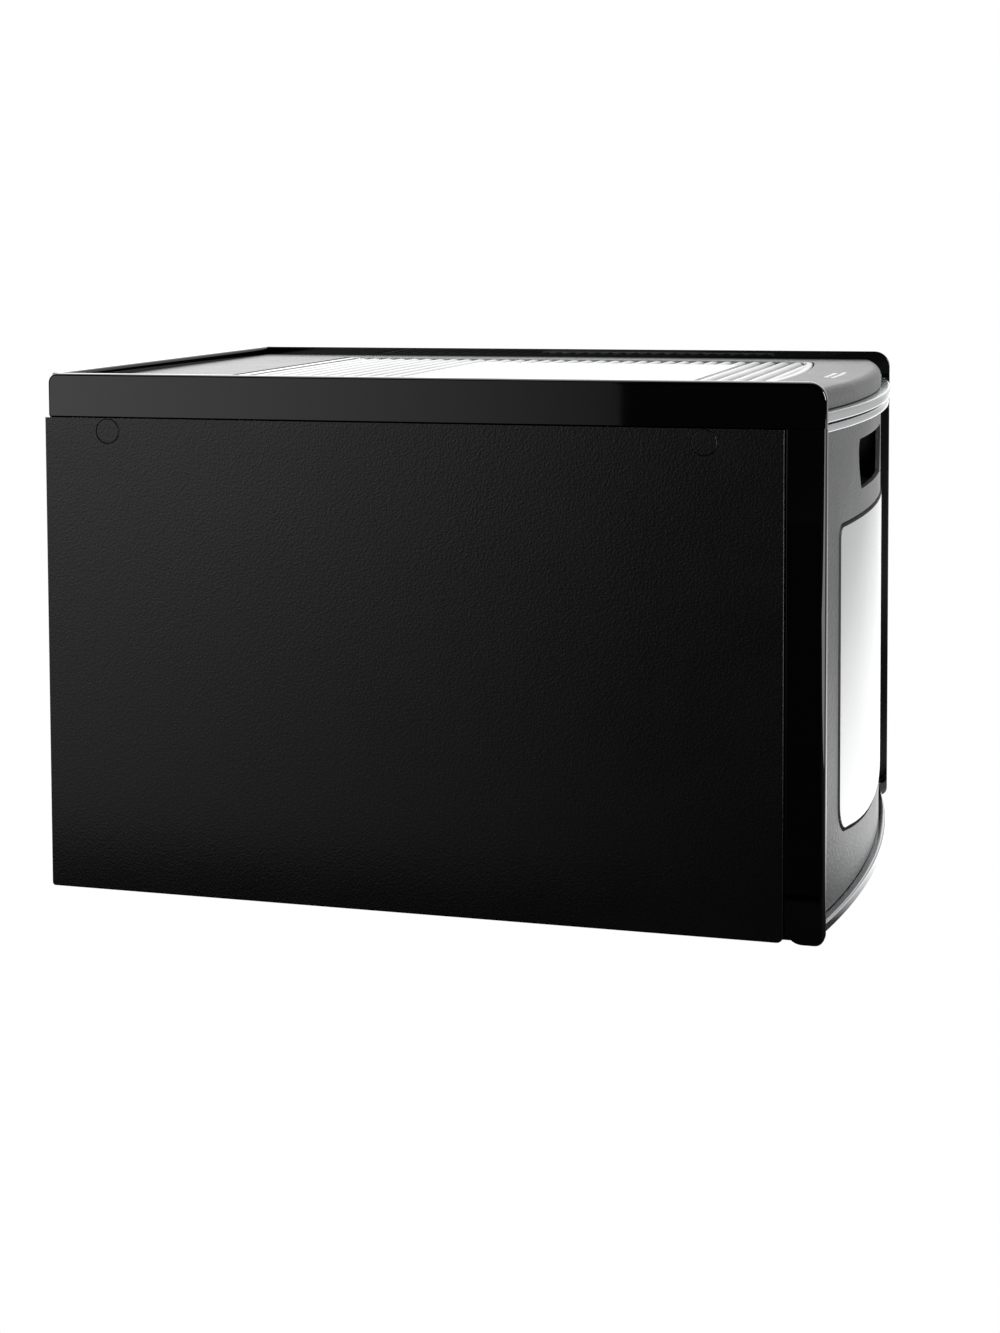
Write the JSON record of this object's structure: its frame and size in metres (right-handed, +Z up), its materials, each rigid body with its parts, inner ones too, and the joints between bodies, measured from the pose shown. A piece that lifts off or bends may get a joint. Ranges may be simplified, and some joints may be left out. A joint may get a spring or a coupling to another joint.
{
  "type": "trash compactor",
  "caption": "Low compact trash compactor: matt black box with gloss rails, ribbed silver top lid, bowed chrome-edged pull-out bin drawer and a screw-driven ram behind it",
  "frame": {"origin": "on the floor under the middle of the whole box", "axes": "+Z up, the bowed drawer front faces -Y, +X to the right seen from the front"},
  "size_m": [0.381, 0.5055, 0.334],
  "materials": {
    "grained_black": "fine grained matt black moulding",
    "gloss_black": "polished piano black",
    "charcoal": "speckled matt charcoal",
    "chrome": "bright chrome plate",
    "silver_lid": "satin pale silver",
    "silver_inlay": "smooth pale silver",
    "zinc_steel": "zinc plated sheet",
    "bright_steel": "ground steel",
    "inner_black": "plain matt black",
    "motor_paint": "black enamel",
    "rubber": "matt rubber",
    "stop_key": "smooth red key",
    "start_key": "smooth green key",
    "board_green": "circuit board"
  },
  "bodies": {
    "cabinet": {"base_tray": "inner_black", "foot_front_left": "rubber", "foot_front_right": "rubber", "foot_rear_left": "rubber", "foot_rear_right": "rubber", "side_panel_left": "grained_black", "side_panel_right": "grained_black", "cap_front_left": "grained_black", "cap_front_right": "grained_black", "cap_rear_left": "grained_black", "cap_rear_right": "grained_black", "front_pillar_left": "gloss_black", "front_pillar_right": "gloss_black", "rail_left": "gloss_black", "rail_right": "gloss_black", "rail_rear": "gloss_black", "rear_panel": "grained_black", "top_deck": "charcoal", "upper_band": "chrome", "bulkhead": "zinc_steel", "mechanism_cover": "zinc_steel", "bearing_bridge": "zinc_steel", "motor": "motor_paint", "motor_bracket": "zinc_steel", "drive_belt": "rubber", "control_board": "board_green", "power_inlet": "inner_black", "rocker_bezel": "inner_black", "runner_outer_left": "zinc_steel", "runner_outer_right": "zinc_steel", "hinge_pin_left": "bright_steel", "hinge_pin_right": "bright_steel"},
    "drawer": {"drawer_front": "charcoal", "inlay_panel": "silver_inlay", "inlay_backing": "inner_black", "drawer_band_top": "chrome", "drawer_band_bottom": "chrome", "handle_cup": "inner_black", "trim_strip_left": "chrome", "trim_strip_right": "chrome", "drawer_bin": "inner_black", "drawer_bracket_left": "zinc_steel", "drawer_bracket_right": "zinc_steel", "runner_inner_left": "zinc_steel", "runner_inner_right": "zinc_steel"},
    "lid": {"ribbed_lid": "silver_lid", "lid_plate": "silver_lid"},
    "ram": {"ram_plate": "zinc_steel", "lead_screw_left": "bright_steel", "lead_screw_right": "bright_steel"},
    "nut_left": {"nut_pulley_left": "zinc_steel"},
    "nut_right": {"nut_pulley_right": "zinc_steel"},
    "motor_drive": {"motor_pulley": "zinc_steel"},
    "start_key": {"start_button": "start_key"},
    "stop_key": {"stop_button": "stop_key"},
    "rocker": {"power_rocker": "stop_key"}
  },
  "joints": [
    {"name": "drawer_slide", "type": "slide", "parent": "cabinet", "child": "drawer", "axis": [0, -1, 0], "range_m": [0, 0.24]},
    {"name": "lid_hinge", "type": "hinge", "parent": "cabinet", "child": "lid", "pos_m": [0, 0.16135, 0.3225], "axis": [-1, 0, 0], "range_deg": [0, 95]},
    {"name": "ram_slide", "type": "slide", "parent": "cabinet", "child": "ram", "axis": [0, -1, 0], "range_m": [0, 0.12]},
    {"name": "nut_left_spin", "type": "hinge", "parent": "cabinet", "child": "nut_left", "pos_m": [-0.08, 0.0985, 0.155], "axis": [0, 1, 0], "range_deg": [0, 3601]},
    {"name": "nut_right_spin", "type": "hinge", "parent": "cabinet", "child": "nut_right", "pos_m": [0.08, 0.0985, 0.155], "axis": [0, 1, 0], "range_deg": [0, 3601]},
    {"name": "motor_spin", "type": "hinge", "parent": "cabinet", "child": "motor_drive", "pos_m": [0, 0.0985, 0.105], "axis": [0, 1, 0], "range_deg": [0, 7202]},
    {"name": "start_press", "type": "slide", "parent": "cabinet", "child": "start_key", "axis": [0, 1, 0], "range_m": [0, 0.001], "stiffness_N_per_m": 800, "springref_m": -0.0005},
    {"name": "stop_press", "type": "slide", "parent": "cabinet", "child": "stop_key", "axis": [0, 1, 0], "range_m": [0, 0.001], "stiffness_N_per_m": 800, "springref_m": -0.0005},
    {"name": "rocker_tilt", "type": "hinge", "parent": "cabinet", "child": "rocker", "pos_m": [-0.08, 0.24625, 0.05], "axis": [1, 0, 0], "range_deg": [0, 14]}
  ],
  "couplings": [
    {"joint": "nut_left_spin", "follows": "ram_slide", "rad_per_m": 523.6},
    {"joint": "nut_right_spin", "follows": "ram_slide", "rad_per_m": 523.6},
    {"joint": "motor_spin", "follows": "ram_slide", "rad_per_m": 1047.2}
  ]
}
